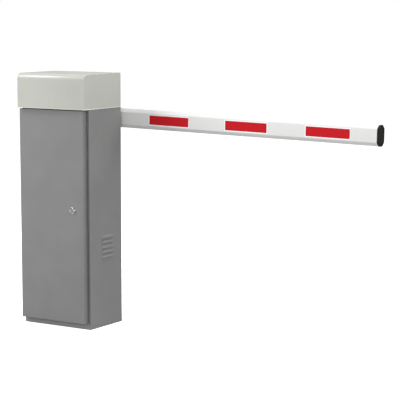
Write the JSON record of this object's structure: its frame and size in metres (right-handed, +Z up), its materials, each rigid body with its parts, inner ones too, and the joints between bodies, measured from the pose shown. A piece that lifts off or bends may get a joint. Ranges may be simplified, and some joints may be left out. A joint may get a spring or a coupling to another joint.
{
  "type": "parking barrier gate",
  "caption": "Upright steel cabinet with a lift-off cover and a hinged door, holding a geared motor, crank and balance spring that raise an octagonal boom.",
  "frame": {"origin": "centre of the cabinet's footprint on the ground, at the centre of its four anchor holes", "axes": "+X along the boom towards its tip, -Y out of the door, +Z up"},
  "size_m": [1.5105, 0.342, 1.04],
  "materials": {
    "body_paint": "fine textured powder coat, dark grey",
    "cover_paint": "fine textured powder coat, light warm grey",
    "boom_paint": "smooth white powder coat on an aluminium extrusion",
    "reflective_red": "retroreflective film",
    "cap_plastic": "moulded",
    "rubber_black": "moulded",
    "foam_seal": "foam",
    "zinc_sheet": "zinc plated sheet",
    "zinc_bolt": "zinc plated",
    "machine_paint": "smooth grey paint",
    "hub_paint": "black powder coat",
    "gear_paint": "blue grey enamel on cast iron",
    "motor_cast": "die cast, ribbed",
    "shaft_steel": "ground",
    "bearing_cast": "cast",
    "spring_steel": "oil blackened wire",
    "wheel_bronze": "cast bronze, hobbed",
    "lock_chrome": "polished",
    "plate_zinc": "zinc plated",
    "case_plastic": "moulded",
    "terminal_plastic": "moulded",
    "sensor_plastic": "moulded",
    "wheel_plastic": "moulded"
  },
  "bodies": {
    "cabinet": {"cabinet_wrap": "body_paint", "front_frame": "body_paint", "base_plate": "zinc_sheet", "anchor_bars": "zinc_sheet", "door_gasket": "foam_seal", "hinge_posts": "zinc_bolt", "shelf_brackets": "zinc_sheet", "machine_shelf": "zinc_sheet", "front_stand": "zinc_sheet", "rear_stand": "zinc_sheet", "flange_bearings": "bearing_cast", "machine_bolts": "zinc_bolt", "shaft_seal": "rubber_black", "rubber_buffers": "rubber_black", "limit_sensors": "sensor_plastic", "reducer_housing": "gear_paint", "reducer_covers": "gear_paint", "motor_stator": "motor_cast", "motor_shields": "motor_cast", "motor_hangers": "zinc_sheet", "drive_belt": "rubber_black", "balance_spring": "spring_steel", "spring_anchor": "zinc_sheet", "tension_screw": "zinc_bolt", "control_plate": "plate_zinc", "controller_case": "case_plastic", "controller_lid": "case_plastic", "din_rail": "plate_zinc", "terminal_blocks": "terminal_plastic", "circuit_breaker": "case_plastic"},
    "door": {"door_panel": "body_paint", "door_stiffener": "body_paint", "hinge_leaves": "zinc_bolt", "lock_barrel": "lock_chrome", "lock_nut": "zinc_bolt"},
    "lock": {"lock_plug": "lock_chrome", "lock_cam": "zinc_bolt"},
    "cover": {"top_cover": "cover_paint"},
    "boom": {"main_shaft": "shaft_steel", "shaft_collars": "bearing_cast", "drive_lever": "machine_paint", "spring_lever": "machine_paint", "lever_pins": "shaft_steel", "sensor_flag": "zinc_bolt", "hub_flange": "hub_paint", "clamp_plate_inner": "hub_paint", "clamp_plate_outer": "hub_paint", "clamp_bolts": "zinc_bolt", "boom_tube": "boom_paint", "boom_tip_cap": "cap_plastic", "boom_root_cap": "cap_plastic", "reflective_strips": "reflective_red"},
    "crank": {"output_shaft": "shaft_steel", "worm_wheel": "wheel_bronze", "drive_crank": "machine_paint"},
    "rod": {"connecting_rod": "machine_paint"},
    "worm": {"worm_shaft": "shaft_steel"},
    "motor": {"motor_rotor": "shaft_steel", "motor_handwheel": "wheel_plastic"},
    "hanger": {"spring_hanger": "machine_paint"}
  },
  "joints": [
    {"name": "door_swing", "type": "hinge", "parent": "cabinet", "child": "door", "pos_m": [-0.1665, -0.115, 0.45], "axis": [0, 0, -1], "range_deg": [0, 100]},
    {"name": "lock_turn", "type": "hinge", "parent": "door", "child": "lock", "pos_m": [0.0985, -0.12, 0.489], "axis": [0, -1, 0], "range_deg": [0, 90]},
    {"name": "cover_lift", "type": "slide", "parent": "cabinet", "child": "cover", "axis": [0, 0, 1], "range_m": [0, 0.15]},
    {"name": "boom_lift", "type": "hinge", "parent": "cabinet", "child": "boom", "pos_m": [0, 0, 0.853], "axis": [0, -1, 0], "range_deg": [0, 90], "deforming": ["balance_spring"]},
    {"name": "crank_turn", "type": "hinge", "parent": "cabinet", "child": "crank", "pos_m": [0, 0, 0.663], "axis": [0, -1, 0], "range_deg": [0, 90]},
    {"name": "rod_swing", "type": "hinge", "parent": "crank", "child": "rod", "pos_m": [0.03536, 0, 0.62764], "axis": [0, 1, 0], "range_deg": [0, 90]},
    {"name": "hanger_swing", "type": "hinge", "parent": "boom", "child": "hanger", "pos_m": [-0.0495, 0, 0.9025], "axis": [0, 1, 0], "range_deg": [0, 90]},
    {"name": "worm_turn", "type": "hinge", "parent": "cabinet", "child": "worm", "pos_m": [0, 0.05, 0.613], "axis": [-1, 0, 0], "range_deg": [0, 2700]},
    {"name": "motor_turn", "type": "hinge", "parent": "cabinet", "child": "motor", "pos_m": [0, 0.05, 0.46], "axis": [-1, 0, 0], "range_deg": [0, 4050]}
  ],
  "couplings": [
    {"joint": "crank_turn", "follows": "boom_lift", "ratio": 1},
    {"joint": "rod_swing", "follows": "boom_lift", "ratio": 1},
    {"joint": "hanger_swing", "follows": "boom_lift", "ratio": 1},
    {"joint": "worm_turn", "follows": "boom_lift", "ratio": 30},
    {"joint": "motor_turn", "follows": "boom_lift", "ratio": 45}
  ]
}
